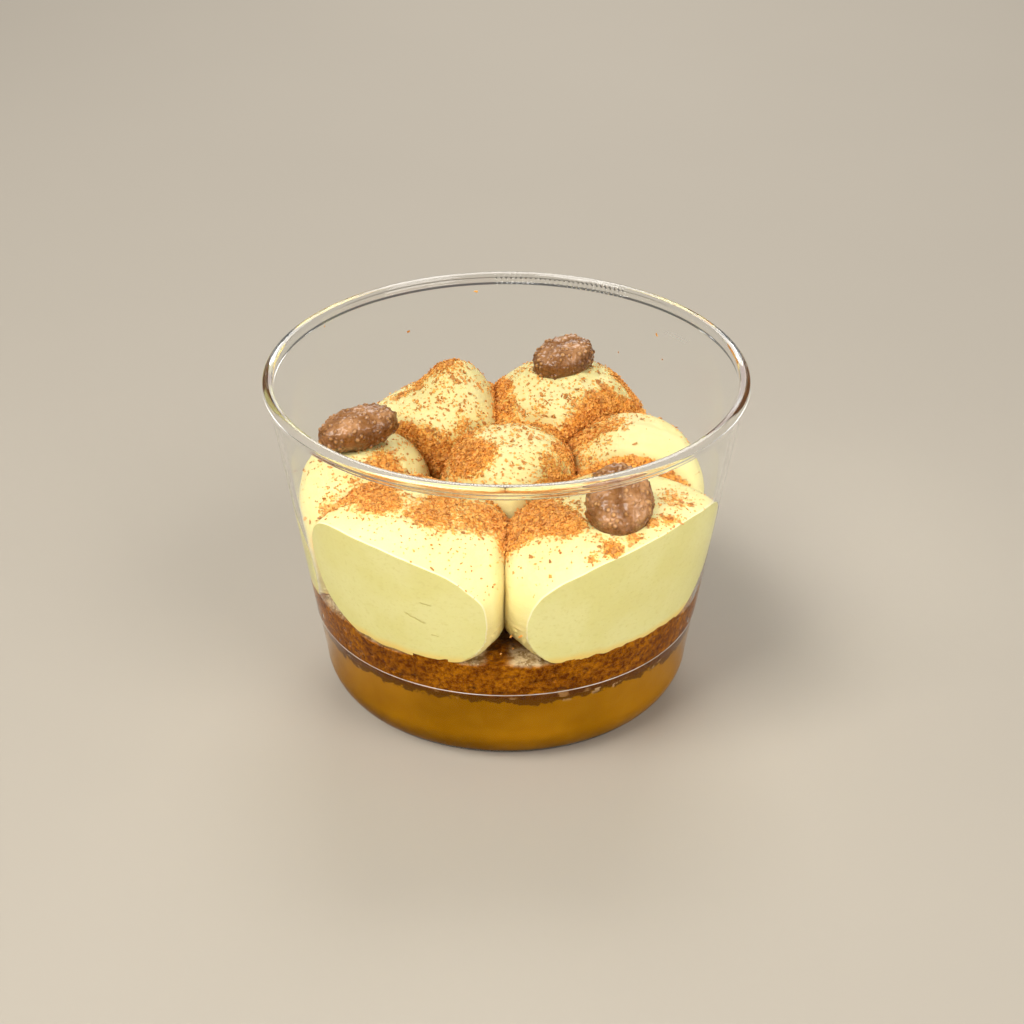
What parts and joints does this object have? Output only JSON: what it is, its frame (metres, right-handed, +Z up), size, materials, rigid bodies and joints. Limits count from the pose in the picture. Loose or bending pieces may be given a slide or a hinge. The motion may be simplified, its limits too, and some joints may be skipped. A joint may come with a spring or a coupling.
{
  "type": "tiramisu cup",
  "caption": "Tiramisu in a clear tapered plastic cup: coffee caramel layer, soaked sponge, piped cream dollops dusted with grated chocolate, and chocolate coffee beans on top.",
  "frame": {"origin": "centre of the cup's flat underside", "axes": "+Z up along the cup's axis, -Y towards the side that the picture shows in front"},
  "size_m": [0.095, 0.095, 0.0687],
  "materials": {
    "clear_plastic": "clear, smooth and glossy injection-moulded plastic",
    "coffee_caramel": "smooth, slightly glossy coffee caramel cream",
    "soaked_sponge": "moist open-crumbed sponge soaked with coffee",
    "cream": "soft satin whipped mascarpone cream, pale yellow",
    "chocolate": "satin milk chocolate with crisp nodules"
  },
  "bodies": {
    "root": {"cup": "clear_plastic", "caramel_layer": "coffee_caramel", "sponge_layer": "soaked_sponge", "cream_front_left": "cream", "cream_front_right": "cream", "cream_right": "cream", "cream_back_right": "cream", "cream_back_left": "cream", "cream_left": "cream", "cream_centre": "cream", "coffee_bean_left": "chocolate", "coffee_bean_back": "chocolate", "coffee_bean_front": "chocolate"}
  },
  "joints": []
}
